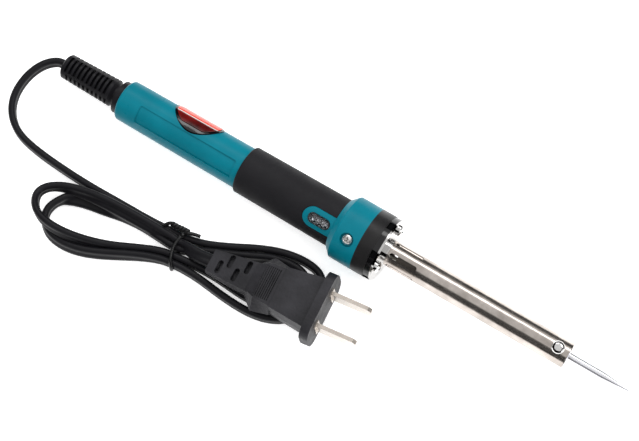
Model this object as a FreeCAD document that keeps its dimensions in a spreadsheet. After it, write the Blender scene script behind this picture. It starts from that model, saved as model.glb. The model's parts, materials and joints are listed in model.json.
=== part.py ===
"""A mains soldering iron with a temperature thumbwheel, and its bundled flat twin cord.

The iron is drawn in its own frame first: X runs along its axis towards the tip, and Z points out of
the thumbwheel's window. One placement then lays it on the table, rolled about its axis and resting
on its collar's rim and its handle's rear edge. The cord, its hank, the tie and the plug lie on the
same table. Everything is in millimetres and degrees.
"""
import FreeCAD, Part
import math
import os
import Sketcher
from FreeCAD import Placement, Rotation, Vector

os.makedirs("parts", exist_ok=True)
doc = FreeCAD.newDocument("soldering_iron")

# Stations along the axis end in _x, radii in _r, and measures across it say what they are.
SIZES = {
    # Strain relief boot at the rear of the handle
    "boot_tail_x": -119.0, "boot_tail_r": 4.3, "boot_tail_bevel_x": -118.4, "boot_rib_tail_r": 4.9,
    "boot_rib_end_x": -97.0, "boot_rib_end_r": 5.35, "boot_neck_x": -95.9, "boot_neck_r": 4.1,
    "boot_flare_x": -94.2, "boot_flange_r": 6.4, "boot_spigot_r": 4.1, "boot_lip_x": -89.4,
    "boot_lip_r": 5.0, "boot_front_x": -87.9,
    "axis_r": 0.0, "boot_core": 2.9, "boot_slot": 1.05, "boot_pitch": 1.98, "boot_slot_x": -117.2,
    "boot_slot_width": 6.3,
    # Handle moulding: rear grip tube, core under the sleeve, tongue and collar
    "handle_rear_x": -91.9, "handle_rear_r": 7.95, "handle_wall_x": -89.6, "handle_hole_r": 4.2,
    "handle_front_r": 8.25, "handle_bore_r": 6.5, "core_r": 7.7, "handle_edge": 1.1,
    "collar_rear_x": 2.3, "collar_root_r": 9.9, "collar_cone_x": 4.7, "collar_r": 12.3,
    "collar_front_x": 13.9, "collar_bore_x": 4.6, "collar_bore_r": 10.6, "collar_edge": 0.5,
    "panel_rear_x": -82.6, "panel_length": 42.0, "panel_width": 6.8, "panel_floor_r": 7.7,
    "panel_corner": 0.7, "panel_low": 3.0,
    # Rubber sleeve and the tongue that reaches into its notch
    "sleeve_rear_x": -38.3, "sleeve_gap": 0.1, "sleeve_rear_r": 9.2, "sleeve_front_r": 9.45,
    "sleeve_edge": 0.7, "tongue_x": -9.6, "tongue_width": 7.7, "tongue_r": 9.5, "notch_gap": 0.15,
    # Window, its bezel, and the thumbwheel under it
    "window_x": -3.05, "bezel_length": 8.9, "bezel_width": 4.0, "bezel_floor": 8.3,
    "bezel_height": 1.35, "opening_length": 7.8, "opening_width": 2.9,
    "bezel_gap": 0.05, "wheel_slot_length": 12.3, "wheel_slot_width": 3.4, "wheel_slot_floor": 4.0,
    "wheel_slot_rear_x": -9.2,
    "wheel_z": 1.65, "wheel_r": 7.5, "wheel_width": 2.4,
    "tooth_r": 0.36, "tooth_root_r": 7.5, "spindle_r": 1.0, "spindle_length": 6.6,
    "spindle_start": -4.2, "running_gap": 0.06,
    "pot_r": 3.0, "pot_length": 2.5, "pot_start": -4.4,
    # Circuit board and what is soldered to it
    "board_rear_x": -52.0, "board_length": 38.2, "board_width": 10.6, "board_z": -2.58,
    "board_thickness": 1.2, "board_tab_length": 13.9, "board_tab_width": 3.5,
    "triac_x": -24.0, "triac_length": 4.6, "triac_width": 4.0, "triac_height": 4.4,
    "capacitor_x": -36.0, "capacitor_length": 7.5, "capacitor_width": 6.0, "capacitor_height": 4.6,
    # Collar screw in its recess
    "screw_x": 9.5, "screw_recess_r": 2.6, "screw_seat": 10.9, "screw_hole_r": 1.3,
    "collar_head_r": 1.85, "collar_head_height": 1.15, "collar_shank_r": 1.2,
    "collar_shank_length": 4.0, "collar_recess_depth": 0.8,
    # Insulating ring, glossy band and steel flange at the front of the collar
    "ring_front_x": 19.2, "ring_bore_r": 6.2, "ring_spigot_x": 6.1, "ring_spigot_r": 10.5,
    "band_front_x": 21.4, "band_bore_r": 5.4, "band_r": 12.15, "notch_width": 3.4, "notch_depth": 0.9,
    "plate_front_x": 22.2, "plate_r": 11.9, "plate_hole_r": 1.25, "plate_neck_r": 5.5,
    "plate_neck_x": 23.5, "plate_screw_circle": 9.0,
    "flange_head_r": 2.15, "flange_head_height": 1.7, "flange_shank_r": 1.2,
    "flange_shank_length": 7.0, "flange_recess_depth": 1.0,
    # Barrel with its vents
    "barrel_front_x": 95.3, "barrel_r": 4.9, "barrel_bore_r": 4.45, "vent_x": 29.7,
    "vent_length": 11.0, "vent_width": 1.8,
    # Heater inside the barrel
    "former_rear_x": 27.0, "former_front_x": 86.0, "former_r": 2.9, "former_bore_r": 2.05,
    "winding_rear_x": 36.0, "winding_front_x": 83.0, "winding_r": 3.25, "mica_r": 3.9,
    "mica_inner_r": 3.5, "mica_rear_x": 35.0, "mica_front_x": 87.0,
    # Bush, tip and the screw that holds it
    "bush_rear_x": 88.2, "bush_front_x": 94.0, "bush_bore_r": 1.93, "tip_rear_x": 50.0,
    "tip_r": 1.85, "tip_step_x": 95.4, "tip_work_x": 95.6, "tip_work_r": 1.58,
    "tip_cone_x": 108.7, "tip_end_x": 118.9, "tip_end_r": 0.4, "tip_point_x": 119.2,
    "tip_point_r": 0.15, "set_screw_x": 91.2, "set_screw_gap": 0.06, "set_screw_seat": 4.98,
    "set_head_r": 2.3, "set_head_height": 1.7, "set_shank_r": 1.4, "set_shank_length": 3.06,
    "set_recess_depth": 0.75,
    # Wires
    "lead_r": 0.6, "crimp_r": 1.0, "crimp_length": 3.0, "crimp_offset": 3.6,
    # Flat twin cord, standing on its edge, and the wire tie
    "cord_thickness": 2.7, "cord_width": 5.2, "tie_r": 0.6, "tail_r": 0.95,
    "tie_groove_width": 1.8, "tie_groove_depth": 1.35,
    # Moulded two-blade plug
    "flange_width": 26.4, "flange_height": 15.0, "flange_thickness": 3.4, "flange_corner": 5.0,
    "blade_spacing": 12.7, "blade_thickness": 1.5, "blade_width": 6.3, "blade_length": 15.6,
    "blade_root": 6.0, "blade_nose": 1.3, "shoulder_width": 3.2, "shoulder_height": 7.4,
    "shoulder_thickness": 0.5,
    "rib_patch_rear": -25.0, "rib_pitch": 0.78, "rib_groove": 0.38, "rib_length": 12.4,
    "rib_floor": 4.15, "relief_slot": 2.0, "relief_web": 1.2, "relief_slot_length": 5.2,
}
BOOT_SLOTS = 10
WHEEL_TEETH = 22
VENTS = 6
BAND_NOTCHES = 6
RIB_GROOVES = 8
PLATE_SCREW_TURNS = (-90, 30, 150)
BOOT_TURN = -29
VENT_TURN = -10
SET_SCREW_TURN = -26
BADGE_TURN = -86
ROLL = 35
BADGE_X = -62.0
BADGE_LENGTH = 20.4
BADGE_WIDTH = 14.0
BADGE_THICKNESS = 0.35
FAR = 40.0
THIN = 0.001
# How much of the shorter of two runs the arc between them takes.
ARC_SHARE = 0.45
# A screw head's crown as a share of its height, the crown's shoulder, and the cross in it.
CROWN = 0.45
CROWN_SHOULDER_R = 0.72
CROWN_SHOULDER_DROP = 0.22
CROSS_LENGTH = 1.15
CROSS_WIDTH = 0.3
# Wires on the +Y side of the iron. Each has a twin on the other side.
HEATER_LEAD = [(-18.0, 3.5, -4.4), (4.0, 3.5, -4.4), (11.0, 2.6, -3.0), (26.5, 2.2, -2.3)]
MAINS_LEAD = [(-87.9, 1.4, 0.0), (-80.0, 1.6, 0.3), (-66.0, 2.8, -1.2), (-52.0, 3.0, -1.9)]

# Route of the cord's loose stretch, from just inside the boot's tail to the hank's flat notch. The
# first run follows the boot's axis.
CORD_GRIP = 0.4
CORD_START = 2.7
CORD_ROUTE = [
    (-124.6, -1.9, 6.4), (-127.2, -5.2, 6.2), (-128.9, -9.8, 5.9), (-129.5, -14.9, 5.5),
    (-129.0, -20.1, 4.9), (-127.0, -24.9, 4.1), (-123.5, -28.7, 3.3), (-118.8, -31.3, 2.7),
    (-112.8, -32.7, 2.6), (-104.4, -33.6, 2.6), (-93.9, -34.1, 2.6), (-84.0, -34.3, 2.6),
]
# Outline of the hank seen from above. The first and last points are the notch that the cord meets.
HANK_OUTLINE = [
    (-84.0, -35.65), (-92.5, -38.0), (-98.4, -42.2), (-99.4, -49.0), (-95.5, -55.2), (-88.5, -59.2),
    (-80.0, -60.6), (-70.0, -58.4), (-58.0, -51.0), (-48.0, -45.2), (-38.0, -44.0), (-26.0, -44.6),
    (-14.0, -45.4), (-4.0, -43.8), (4.0, -39.4), (8.6, -31.6), (8.4, -22.4), (3.6, -16.4),
    (-4.0, -15.4), (-13.0, -17.4), (-24.0, -22.8), (-36.0, -29.0), (-46.0, -31.0), (-62.0, -32.5),
    (-84.0, -32.95),
]
LEFT_EYE = [
    (-54.0, -41.4), (-66.0, -41.2), (-78.0, -42.0), (-86.5, -44.6), (-90.6, -49.0), (-87.0, -52.6),
    (-78.0, -52.2), (-67.0, -48.2),
]
RIGHT_EYE = [
    (-31.0, -33.6), (-21.0, -28.6), (-12.0, -24.4), (-3.0, -22.6), (2.4, -25.0), (2.6, -31.4),
    (-3.0, -36.6), (-13.0, -38.0), (-24.0, -37.2),
]
TIE_CENTRE = Vector(-43.35, -37.6, 0.0)
TIE_TURN = -14.0
TIE_WIDTH = 17.3
TIE_TOP = 6.1
TIE_LEFT_TAIL = [(-44.4, -30.2, 6.7), (-47.6, -29.6, 6.5), (-50.6, -30.4, 6.4), (-53.2, -31.8, 6.6)]
TIE_RIGHT_TAIL = [(-44.4, -30.2, 6.7), (-41.8, -28.6, 6.4), (-39.0, -28.0, 6.6)]
# The plug lies on the hank's right loops, its nose a little up.
PLUG_AT = Vector(14.8, -30.6, 12.4)
PLUG_YAW = 6.5
PLUG_PITCH = 5.5
# Sections of the plug's body: station, half width at the top, half width at mid height, half height
PLUG_BODY = [(-28.6, 5.0, 6.6, 3.5), (-24.4, 6.9, 10.8, 4.5), (-17.5, 7.6, 9.5, 4.9)]
PLUG_BLOCK = [(-17.6, 8.0, 8.6, 5.4), (-3.0, 9.8, 10.0, 5.7)]
PLUG_RELIEF = [(-45.2, 4.3, 4.6, 2.3), (-36.0, 5.2, 5.5, 2.9), (-27.0, 5.9, 6.3, 3.5)]
RELIEF_SLOTS = [(-41.0, -1.2), (-37.8, 2.2), (-34.2, -1.7), (-31.0, 2.6)]

ALONG = Vector(1, 0, 0)
ACROSS = Vector(0, 1, 0)
UP = Vector(0, 0, 1)
subparts = {}


# ---- The sheet, and formulas that are sums and differences of its aliases ----

def make_sheet():
    sheet = doc.addObject("Spreadsheet::Sheet", "Sizes")
    for row, (alias, number) in enumerate(SIZES.items(), start=1):
        sheet.set(f"A{row}", alias)
        sheet.set(f"B{row}", str(number))
        sheet.setAlias(f"B{row}", alias)
    doc.recompute()


def size(text):
    """The number that a formula such as "tip_r + running_gap" gives."""
    total, sign = 0.0, 1.0
    for word in text.split():
        if word in "+-":
            sign = 1.0 if word == "+" else -1.0
        else:
            total += sign * SIZES[word]
    return total


def formula(text):
    return " ".join(f"Sizes.{word}" if word in SIZES else word for word in text.split())


def bind(thing, **properties):
    for name, text in properties.items():
        thing.setExpression(name, formula(text))


# ---- Shapes that several sub-parts use ----

def measure(sketch, alias, kind, *where):
    """A dimension that follows one of the sheet's aliases."""
    index = sketch.addConstraint(Sketcher.Constraint(kind, *where, size(alias)))
    sketch.setExpression(f"Constraints[{index}]", formula(alias))


def origin_plane(body, role):
    return next(f for f in body.Origin.OriginFeatures if f.Role == role)


def new_sketch(body, role, name):
    sketch = body.newObject("Sketcher::SketchObject", name)
    sketch.AttachmentSupport = [(origin_plane(body, role), "")]
    sketch.MapMode = "FlatFace"
    return sketch


def outline(sketch, points):
    """A closed outline whose corners are pairs of formulas."""
    count = len(points)
    corners = [Vector(size(x), size(y), 0) for x, y in points]
    for i in range(count):
        sketch.addGeometry(Part.LineSegment(corners[i], corners[(i + 1) % count]))
    for i in range(count):
        sketch.addConstraint(Sketcher.Constraint("Coincident", i, 2, (i + 1) % count, 1))
    for i, (x, y) in enumerate(points):
        measure(sketch, x, "DistanceX", i, 1)
        measure(sketch, y, "DistanceY", i, 1)


def turned(name, points):
    """A body turned about the X axis from an outline of (station, radius) corners."""
    body = doc.addObject("PartDesign::Body", name)
    sketch = new_sketch(body, "XY_Plane", f"{name}_outline")
    outline(sketch, points)
    turn = body.newObject("PartDesign::Revolution", f"{name}_turn")
    turn.Profile = sketch
    turn.ReferenceAxis = (sketch, ["H_Axis"])
    turn.Angle = 360
    sketch.Visibility = False
    doc.recompute()
    return body


def tube(name, rear, front, outer, inner):
    return turned(name, [(rear, inner), (rear, outer), (front, outer), (front, inner)])


def round_edges(body, wanted, radius):
    """Fillet of the round edges at the (station, radius) places given."""
    base, names = body.Tip, []
    for number, edge in enumerate(base.Shape.Edges, start=1):
        curve = edge.Curve
        if not isinstance(curve, Part.Circle):
            continue
        for x, r in wanted:
            if abs(curve.Center.x - size(x)) < THIN and abs(curve.Radius - size(r)) < THIN:
                names.append(f"Edge{number}")
    fillet = body.newObject("PartDesign::Fillet", f"{body.Name}_rounding")
    fillet.Base = (base, names)
    bind(fillet, Radius=radius)
    doc.recompute()
    return body


def box(name, length, width, height, x, z, turn=0):
    """A box centred on Y, from station x and height z on, turned about the X axis."""
    block = doc.addObject("Part::Box", name)
    bind(block, Length=length, Width=width, Height=height)
    offset = Placement(Vector(size(x), -size(width) / 2, size(z)), Rotation())
    block.Placement = Placement(Vector(), Rotation(ALONG, turn)).multiply(offset)
    return block


def pin(name, radius, height, base, direction=UP):
    """A plain cylinder from a base point along a direction."""
    made = doc.addObject("Part::Cylinder", name)
    bind(made, Radius=radius)
    made.Height = height
    made.Placement = Placement(base, Rotation(UP, direction))
    return made


def rod(name, radius, height):
    """A plain cylinder along Z that follows the sheet in both its sizes."""
    made = doc.addObject("Part::Cylinder", name)
    bind(made, Radius=radius, Height=height)
    return made


def radial_pin(name, radius, station, turn, start=0.0, reach=FAR):
    """A cylinder that stands out from the axis at a station, turned about the X axis."""
    direction = Rotation(ALONG, turn).multVec(UP)
    base = Vector(size(station), 0, 0) + direction * start
    return pin(name, radius, reach, base, direction)


def stadium(name, length, width, centre_x, low, reach=FAR, grow=0.0):
    """A round-ended prism that stands out of the window's side of the iron."""
    half_width = size(width) / 2 + grow
    straight = size(length) - size(width)
    solid = Part.makeBox(straight, 2 * half_width, reach, Vector(-straight / 2, -half_width, 0))
    for end in (-straight / 2, straight / 2):
        solid = solid.fuse(Part.makeCylinder(half_width, reach, Vector(end, 0, 0)))
    thing = doc.addObject("Part::Feature", name)
    thing.Shape = solid.removeSplitter()
    thing.Placement = Placement(Vector(size(centre_x), 0, size(low)), Rotation())
    return thing


def combine(kind, name, base, *tools):
    """A Part::Cut, Part::Common or Part::Fuse of a base and one or more tools."""
    tool = tools[0]
    if len(tools) > 1:
        tool = doc.addObject("Part::Compound", f"{name}_tools")
        tool.Links = list(tools)
    result = doc.addObject(kind, name)
    result.Base = base
    result.Tool = tool
    doc.recompute()
    return result


def group(name, members):
    result = doc.addObject("Part::Compound", name)
    result.Links = members
    doc.recompute()
    return result


def feature(name, shape):
    thing = doc.addObject("Part::Feature", name)
    thing.Shape = shape
    return thing


def keep(thing, label, local=Placement(), resting=True):
    """Names a finished sub-part. Those of the iron are laid down together at the end."""
    thing.Label = label
    thing.Placement = local
    subparts[label] = (thing, resting)


def turned_about_axis(angle):
    return Placement(Vector(), Rotation(ALONG, angle))


def rounded_path(points, closed=False, title=None):
    """Straight runs joined by tangent arcs, each as large as its two runs allow."""
    count = len(points)
    corners = range(count) if closed else range(1, count - 1)
    edges, ends, radii = [], {}, []
    for i in corners:
        before, here, after = points[i - 1], points[i], points[(i + 1) % count]
        back, ahead = before - here, after - here
        trim = ARC_SHARE * min(back.Length, ahead.Length)
        half_turn = (math.pi - back.getAngle(ahead)) / 2
        radius = trim / math.tan(half_turn)
        radii.append(radius)
        back.normalize()
        ahead.normalize()
        start, finish = here + back * trim, here + ahead * trim
        inward = back + ahead
        inward.normalize()
        middle = here + inward * (radius / math.cos(half_turn) - radius)
        ends[i] = (start, middle, finish)
    first = points[0]
    for i in corners:
        start, middle, finish = ends[i]
        if not (closed and i == 0):
            edges.append(Part.LineSegment(first, start).toShape())
        edges.append(Part.Arc(start, middle, finish).toShape())
        first = finish
    last = ends[0][0] if closed else points[-1]
    edges.append(Part.LineSegment(first, last).toShape())
    if title:
        print(f"{title}: radii {', '.join(f'{r:.1f}' for r in radii)}")
    return Part.Wire(edges)


def wire_along(points, radius):
    """A round wire that follows the rounded path through the points."""
    path = rounded_path(points)
    start = points[1] - points[0]
    ring = Part.Wire(Part.Circle(points[0], start, radius).toShape())
    return path.makePipeShell([ring], True, False)


def vectors(points):
    return [Vector(*point) for point in points]


# ---- The iron ----

def make_strain_relief():
    body = turned("boot", [
        ("boot_tail_x", "axis_r"), ("boot_tail_x", "boot_tail_r"),
        ("boot_tail_bevel_x", "boot_rib_tail_r"), ("boot_rib_end_x", "boot_rib_end_r"),
        ("boot_neck_x", "boot_neck_r"), ("boot_flare_x", "boot_neck_r"),
        ("boot_flare_x", "boot_flange_r"), ("handle_rear_x", "boot_flange_r"),
        ("handle_rear_x", "boot_spigot_r"), ("boot_lip_x", "boot_spigot_r"),
        ("boot_lip_x", "boot_lip_r"), ("boot_front_x", "boot_lip_r"),
        ("boot_front_x", "axis_r"),
    ])
    slots = []
    for quarter in range(4):
        shift = size("boot_slot_x") + size("boot_pitch") / 2 * (quarter % 2)
        for i in range(BOOT_SLOTS):
            slot = box(f"boot_slot_{quarter}_{i}", "boot_slot", "boot_slot_width",
                       "boot_rib_end_r", "boot_slot_x", "boot_core", 90 * quarter)
            slot.Placement.Base.x = shift + size("boot_pitch") * i
            slots.append(slot)
    keep(combine("Part::Cut", "strain_relief", body, *slots), "strain_relief",
         turned_about_axis(BOOT_TURN))


def tongue_shape(name, front, gap=0.0):
    """A prism with the outline of the tongue, round at the rear, as far as a station."""
    half = size("tongue_width") / 2
    straight = size(front) - size("tongue_x") - half
    solid = Part.makeBox(straight, 2 * (half + gap), FAR, Vector(0, -half - gap, 0))
    solid = solid.fuse(Part.makeCylinder(half + gap, FAR)).removeSplitter()
    thing = feature(name, solid)
    thing.Placement.Base = Vector(size("tongue_x") + half, 0, 0)
    return thing


def make_handle_body():
    body = turned("moulding", [
        ("handle_rear_x", "handle_hole_r"), ("handle_rear_x", "handle_rear_r"),
        ("sleeve_rear_x", "handle_front_r"), ("sleeve_rear_x", "core_r"),
        ("collar_rear_x", "core_r"), ("collar_rear_x", "collar_root_r"),
        ("collar_cone_x", "collar_r"), ("collar_front_x", "collar_r"),
        ("collar_front_x", "collar_bore_r"), ("collar_bore_x", "collar_bore_r"),
        ("collar_bore_x", "handle_bore_r"), ("handle_wall_x", "handle_bore_r"),
        ("handle_wall_x", "handle_hole_r"),
    ])
    round_edges(body, [("handle_rear_x", "handle_rear_r")], "handle_edge")
    round_edges(body, [("collar_cone_x", "collar_r")], "collar_edge")
    tongue_prism = tongue_shape("tongue_prism", "collar_rear_x")
    tongue_ring = tube("tongue_ring", "tongue_x", "collar_rear_x", "tongue_r", "core_r")
    tongue = combine("Part::Common", "tongue", tongue_prism, tongue_ring)
    solid = combine("Part::Fuse", "moulding_with_tongue", body, tongue)
    panel_prism = box("panel_prism", "panel_length", "panel_width", "handle_front_r",
                      "panel_rear_x", "panel_low")
    doc.recompute()
    corners = doc.addObject("Part::Fillet", "panel_corners")
    corners.Base = panel_prism
    corners.Edges = [(number, size("panel_corner"), size("panel_corner"))
                     for number, edge in enumerate(panel_prism.Shape.Edges, start=1)
                     if abs(edge.tangentAt(0).z) > 1 - THIN]
    panel_ring = tube("panel_ring", "handle_wall_x", "sleeve_rear_x", "collar_r", "panel_floor_r")
    panel = combine("Part::Common", "panel", corners, panel_ring)
    bezel_seat = stadium("bezel_seat", "bezel_length", "bezel_width", "window_x", "bezel_floor",
                         grow=size("bezel_gap"))
    bezel_seat.Placement.Base.z -= size("bezel_gap")
    wheel_slot = box("wheel_slot", "wheel_slot_length", "wheel_slot_width",
                     "bezel_floor - wheel_slot_floor", "wheel_slot_rear_x", "wheel_slot_floor")
    recess = radial_pin("screw_recess", "screw_recess_r", "screw_x", 0, size("screw_seat"))
    hole = radial_pin("screw_hole", "screw_hole_r", "screw_x", 0)
    keep(combine("Part::Cut", "handle_body", solid, panel, bezel_seat, wheel_slot, recess, hole),
         "handle_body")


def make_grip_sleeve():
    body = turned("sleeve", [
        ("sleeve_rear_x", "core_r + sleeve_gap"), ("sleeve_rear_x", "sleeve_rear_r"),
        ("collar_rear_x", "sleeve_front_r"), ("collar_rear_x", "core_r + sleeve_gap"),
    ])
    round_edges(body, [("sleeve_rear_x", "sleeve_rear_r")], "sleeve_edge")
    notch = tongue_shape("notch", "collar_cone_x", size("notch_gap"))
    keep(combine("Part::Cut", "grip_sleeve", body, notch), "grip_sleeve")


def make_badge():
    slope = size("handle_front_r - handle_rear_r") / size("sleeve_rear_x - handle_rear_x")
    ends = [BADGE_X - BADGE_LENGTH, BADGE_X + BADGE_LENGTH]
    radii = [size("handle_rear_r") + slope * (x - size("handle_rear_x")) for x in ends]
    corners = [Vector(ends[0], radii[0], 0), Vector(ends[1], radii[1], 0),
               Vector(ends[1], radii[1] + BADGE_THICKNESS, 0),
               Vector(ends[0], radii[0] + BADGE_THICKNESS, 0)]
    shell = Part.Face(Part.makePolygon(corners + corners[:1])).revolve(Vector(), ALONG, 360)
    curve = Part.Ellipse(Vector(BADGE_X, 0, 0), BADGE_LENGTH / 2, BADGE_WIDTH / 2)
    prism = Part.Face(Part.Wire(curve.toShape())).extrude(UP * FAR)
    keep(feature("badge", Part.makeSolid(shell).common(prism).Solids[0]), "badge",
         turned_about_axis(BADGE_TURN))


def make_window_bezel():
    reach = size("bezel_height")
    rim = stadium("bezel_rim", "bezel_length", "bezel_width", "window_x", "bezel_floor", reach)
    opening = stadium("bezel_opening", "opening_length", "opening_width", "window_x", "core_r")
    keep(combine("Part::Cut", "window_bezel", rim, opening), "window_bezel")


def at_wheel(start, made_along):
    """Turns a piece made along a direction to run across the iron, through the wheel's centre."""
    centre = Vector(size("window_x"), size(start), size("wheel_z"))
    return Placement(centre, Rotation(made_along, ACROSS))


def make_temperature_wheel():
    body = doc.addObject("PartDesign::Body", "wheel")
    sketch = new_sketch(body, "YZ_Plane", "wheel_face")
    for radius in ("wheel_r", "spindle_r"):
        ring = sketch.addGeometry(Part.Circle(Vector(), UP, size(radius)))
        sketch.addConstraint(Sketcher.Constraint("Coincident", ring, 3, -1, 1))
        measure(sketch, radius, "Radius", ring)
    disc = body.newObject("PartDesign::Pad", "wheel_disc")
    disc.Profile = sketch
    disc.Midplane = True
    bind(disc, Length="wheel_width")
    doc.recompute()
    tooth = new_sketch(body, "YZ_Plane", "tooth_gap")
    ring = tooth.addGeometry(Part.Circle(Vector(0, size("tooth_root_r"), 0), UP, size("tooth_r")))
    tooth.addConstraint(Sketcher.Constraint("PointOnObject", ring, 3, -2))
    measure(tooth, "tooth_root_r", "DistanceY", ring, 3)
    measure(tooth, "tooth_r", "Radius", ring)
    before = body.Shape.Volume
    gap = body.newObject("PartDesign::Pocket", "tooth_cut")
    gap.Profile = tooth
    gap.Midplane = True
    bind(gap, Length="wheel_width + wheel_width")
    teeth = body.newObject("PartDesign::PolarPattern", "teeth")
    teeth.Originals = [gap]
    teeth.Axis = (sketch, ["N_Axis"])
    teeth.Angle = 360
    teeth.Occurrences = WHEEL_TEETH
    body.Tip = teeth
    doc.recompute()
    assert body.Shape.Volume < before - WHEEL_TEETH * size("tooth_r") ** 2
    keep(body, "temperature_wheel", at_wheel("axis_r", ALONG))


def make_potentiometer():
    spindle = rod("spindle", "spindle_r", "spindle_length")
    keep(spindle, "wheel_spindle", at_wheel("spindle_start", UP))
    can = rod("pot_can", "pot_r", "pot_length")
    bore = pin("pot_bore", "spindle_r + running_gap", FAR, Vector())
    keep(combine("Part::Cut", "potentiometer", can, bore), "potentiometer",
         at_wheel("pot_start", UP))


def make_circuit():
    main = box("board_main", "board_length", "board_width", "board_thickness",
               "board_rear_x", "board_z")
    tab = box("board_tab", "board_tab_length", "board_tab_width", "board_thickness",
              "board_rear_x + board_length", "board_z")
    tab.Placement.Base.y = -size("board_width") / 2
    keep(combine("Part::Fuse", "circuit_board", main, tab), "circuit_board")
    for name in ("triac", "capacitor"):
        case = box(f"{name}_case", f"{name}_length", f"{name}_width", f"{name}_height",
                   f"{name}_x", "board_z + board_thickness")
        keep(case, name, case.Placement)


def phillips_screw(name, kind):
    """A pan-head screw with its axis along Z and the underside of its head at the origin."""
    head_r, height = size(f"{kind}_head_r"), size(f"{kind}_head_height")
    shank_r, shank_length = size(f"{kind}_shank_r"), size(f"{kind}_shank_length")
    crown = CROWN * height
    corners = [
        Vector(0, 0, -shank_length), Vector(shank_r, 0, -shank_length), Vector(shank_r, 0, 0),
        Vector(head_r, 0, 0), Vector(head_r, 0, height - crown),
    ]
    top = Vector(0, 0, height)
    shoulder = Vector(CROWN_SHOULDER_R * head_r, 0, height - CROWN_SHOULDER_DROP * crown)
    edges = [Part.LineSegment(a, b).toShape() for a, b in zip(corners, corners[1:])]
    edges.append(Part.Arc(corners[-1], shoulder, top).toShape())
    edges.append(Part.LineSegment(top, corners[0]).toShape())
    solid = Part.makeSolid(Part.Face(Part.Wire(edges)).revolve(Vector(), UP, 360))
    length, width = CROSS_LENGTH * head_r, CROSS_WIDTH * head_r
    low = height - size(f"{kind}_recess_depth")
    for long_side, short_side in ((length, width), (width, length)):
        solid = solid.cut(Part.makeBox(long_side, short_side, FAR,
                                       Vector(-long_side / 2, -short_side / 2, low)))
    return feature(name, solid)


def make_collar_screw():
    keep(phillips_screw("collar_screw", "collar"), "collar_screw",
         Placement(Vector(size("screw_x"), 0, size("screw_seat")), Rotation()))


def make_insulator_ring():
    body = turned("insulator", [
        ("ring_spigot_x", "ring_bore_r"), ("ring_spigot_x", "ring_spigot_r"),
        ("collar_front_x", "ring_spigot_r"), ("collar_front_x", "collar_r"),
        ("ring_front_x", "collar_r"), ("ring_front_x", "ring_bore_r"),
    ])
    holes = [radial_pin("insulator_screw_hole", "screw_hole_r", "screw_x", 0)]
    holes += plate_screw_holes("insulator_plate_hole")
    keep(combine("Part::Cut", "insulator_ring", body, *holes), "insulator_ring")


def plate_screw_centre(turn):
    return Rotation(ALONG, turn).multVec(UP * size("plate_screw_circle"))


def plate_screw_holes(name):
    holes = []
    for turn in PLATE_SCREW_TURNS:
        base = plate_screw_centre(turn) + ALONG * size("collar_front_x")
        holes.append(pin(f"{name}_{len(holes)}", "plate_hole_r", FAR, base, ALONG))
    return holes


def make_spacer_band():
    body = tube("band", "ring_front_x", "band_front_x", "band_r", "band_bore_r")
    notches = []
    for i in range(BAND_NOTCHES):
        notch = box(f"band_notch_{i}", "collar_r", "notch_width", "collar_r", "ring_front_x",
                    "band_r - notch_depth", 360 / BAND_NOTCHES * i)
        notches.append(notch)
    keep(combine("Part::Cut", "spacer_band", body, *notches, *plate_screw_holes("band_hole")),
         "spacer_band")


def make_flange_plate():
    body = turned("plate", [
        ("band_front_x", "barrel_r"), ("band_front_x", "plate_r"), ("plate_front_x", "plate_r"),
        ("plate_front_x", "plate_neck_r"), ("plate_neck_x", "plate_neck_r"),
        ("plate_neck_x", "barrel_r"),
    ])
    keep(combine("Part::Cut", "flange_plate", body, *plate_screw_holes("plate_hole")),
         "flange_plate")


def make_flange_screws():
    screws = []
    for turn in PLATE_SCREW_TURNS:
        screw = phillips_screw(f"flange_screw_{len(screws)}", "flange")
        centre = plate_screw_centre(turn) + ALONG * size("plate_front_x")
        screw.Placement = Placement(centre, Rotation(UP, ALONG))
        screws.append(screw)
    keep(group("flange_screws", screws), "flange_screws")


def make_barrel_tube():
    body = tube("barrel", "band_front_x", "barrel_front_x", "barrel_r", "barrel_bore_r")
    sketch = new_sketch(body, "XY_Plane", "vent_outline")
    half_width = size("vent_width") / 2
    half_run = size("vent_length") / 2 - half_width
    middle = size("vent_x")
    corners = [Vector(middle + sx * half_run, sy * half_width, 0)
               for sx, sy in ((-1, -1), (1, -1), (1, 1), (-1, 1))]
    ends = [Vector(middle + half_run, 0, 0), Vector(middle - half_run, 0, 0)]
    quarter = math.pi / 2
    sketch.addGeometry(Part.LineSegment(corners[0], corners[1]))
    sketch.addGeometry(Part.ArcOfCircle(Part.Circle(ends[0], UP, half_width), -quarter, quarter))
    sketch.addGeometry(Part.LineSegment(corners[2], corners[3]))
    sketch.addGeometry(Part.ArcOfCircle(Part.Circle(ends[1], UP, half_width), quarter, 3 * quarter))
    for i in range(4):
        sketch.addConstraint(Sketcher.Constraint("Tangent", i, 2, (i + 1) % 4, 1))
    before = body.Shape.Volume
    vent = body.newObject("PartDesign::Pocket", "vent")
    vent.Profile = sketch
    vent.Reversed = True
    bind(vent, Length="barrel_r + barrel_r")
    vents = body.newObject("PartDesign::PolarPattern", "vents")
    vents.Originals = [vent]
    vents.Axis = (sketch, ["H_Axis"])
    vents.Angle = 360
    vents.Occurrences = VENTS
    body.Tip = vents
    doc.recompute()
    assert body.Shape.Volume < before
    hole = radial_pin("set_screw_hole", "set_shank_r + set_screw_gap", "set_screw_x",
                      SET_SCREW_TURN - VENT_TURN)
    keep(combine("Part::Cut", "barrel_tube", body, hole), "barrel_tube",
         turned_about_axis(VENT_TURN))


def make_heater():
    keep(tube("former", "former_rear_x", "former_front_x", "former_r", "former_bore_r"),
         "heater_former")
    keep(tube("winding", "winding_rear_x", "winding_front_x", "winding_r", "former_r"),
         "heater_winding")
    keep(tube("mica", "mica_rear_x", "mica_front_x", "mica_r", "mica_inner_r"), "mica_sleeve")


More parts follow.
